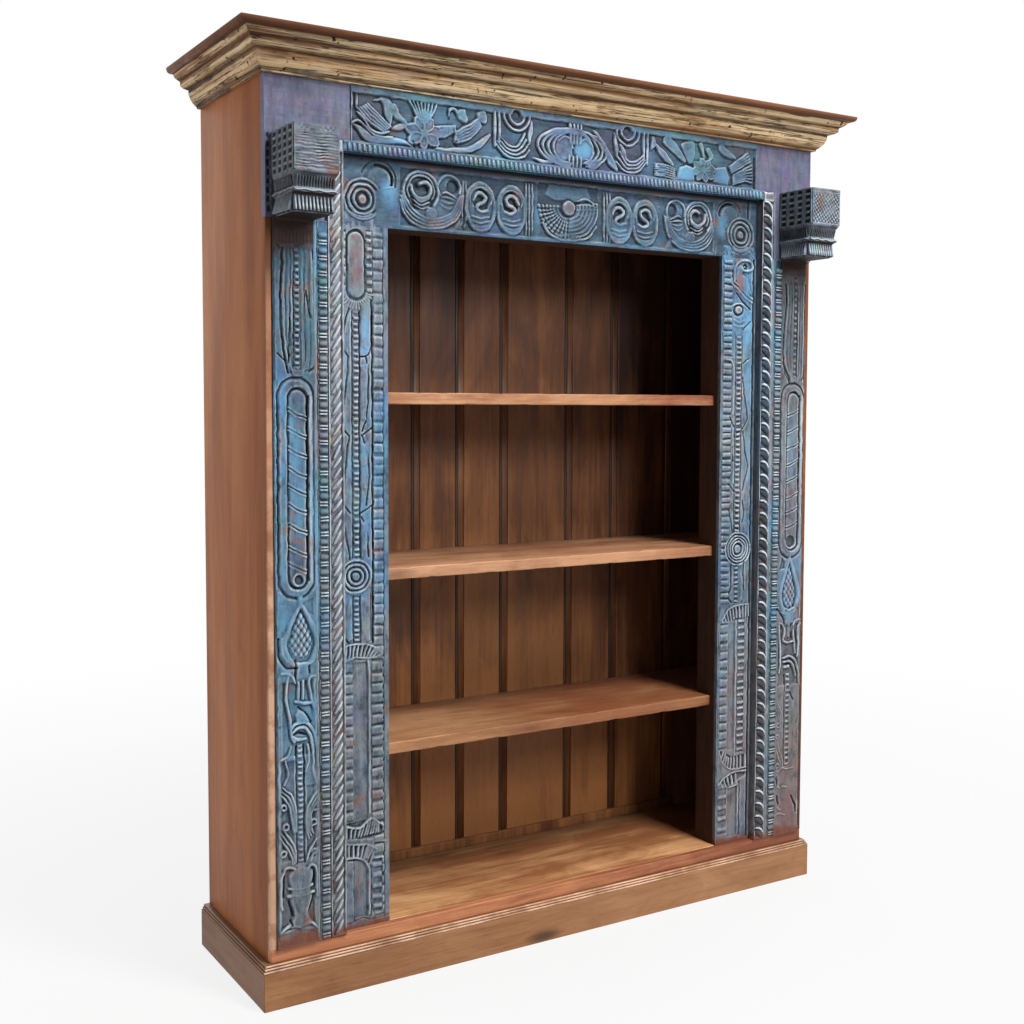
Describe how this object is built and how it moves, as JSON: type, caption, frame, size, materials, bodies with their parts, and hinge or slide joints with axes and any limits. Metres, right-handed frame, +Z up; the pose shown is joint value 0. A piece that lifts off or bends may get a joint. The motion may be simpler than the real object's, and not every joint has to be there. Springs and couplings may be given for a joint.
{
  "type": "open bookcase",
  "caption": "Open wooden bookcase built round a carved and painted old door surround, with fixed shelves, planked back, plinth and moulded crown.",
  "frame": {"origin": "on the floor, in the middle of the width and of the depth over brackets and back", "axes": "+Z up, +X to the right seen from the front, -Y out of the open front"},
  "size_m": [1.775, 0.551, 2.15],
  "materials": {
    "carved_paint": "old blue-grey paint worn through to pinkish brown wood",
    "case_wood": "waxed mid-brown mango wood, satin",
    "plinth_wood": "waxed mango wood with knots, satin",
    "interior_wood": "dark red-brown stain, satin",
    "crown_wood": "worn cream wash over old wood, matt",
    "cap_wood": "dark brown wax, satin",
    "hardware": "dull steel"
  },
  "bodies": {
    "root": {"back_batten_lower": "case_wood", "back_batten_middle": "case_wood", "back_batten_upper": "case_wood", "back_foot_rail": "interior_wood", "back_plank_1": "interior_wood", "back_plank_2": "interior_wood", "back_plank_3": "interior_wood", "back_plank_4": "interior_wood", "back_plank_5": "interior_wood", "back_plank_6": "interior_wood", "back_plank_7": "interior_wood", "back_plank_8": "interior_wood", "back_plank_9": "interior_wood", "batten_screws": "hardware", "bracket_backing_left": "carved_paint", "bracket_backing_right": "carved_paint", "bracket_bolts": "hardware", "bracket_left": "carved_paint", "bracket_right": "carved_paint", "cap_board": "cap_wood", "case_top_board": "case_wood", "corner_board_left": "carved_paint", "corner_board_right": "carved_paint", "cornice_blocks": "case_wood", "cornice_rail": "case_wood", "crown_front": "crown_wood", "crown_left": "crown_wood", "crown_right": "crown_wood", "deck_board": "interior_wood", "deck_front_lip": "interior_wood", "dentil_ledge": "carved_paint", "door_post_left": "carved_paint", "door_post_right": "carved_paint", "frieze_panel": "carved_paint", "front_stile_left": "case_wood", "front_stile_right": "case_wood", "head_rail": "case_wood", "lintel_beam": "carved_paint", "lintel_block_left": "carved_paint", "lintel_block_right": "carved_paint", "lintel_dowels": "case_wood", "pilaster_left": "carved_paint", "pilaster_right": "carved_paint", "plinth_back_rail": "case_wood", "plinth_corner_blocks": "case_wood", "plinth_front": "plinth_wood", "plinth_left": "plinth_wood", "plinth_moulding_front": "plinth_wood", "plinth_moulding_left": "plinth_wood", "plinth_moulding_right": "plinth_wood", "plinth_right": "plinth_wood", "reel_strip_left": "carved_paint", "reel_strip_right": "carved_paint", "rope_moulding_left": "carved_paint", "rope_moulding_right": "carved_paint", "shelf_lower": "interior_wood", "shelf_middle": "interior_wood", "shelf_upper": "interior_wood", "side_panel_left": "case_wood", "side_panel_right": "case_wood"}
  },
  "joints": []
}
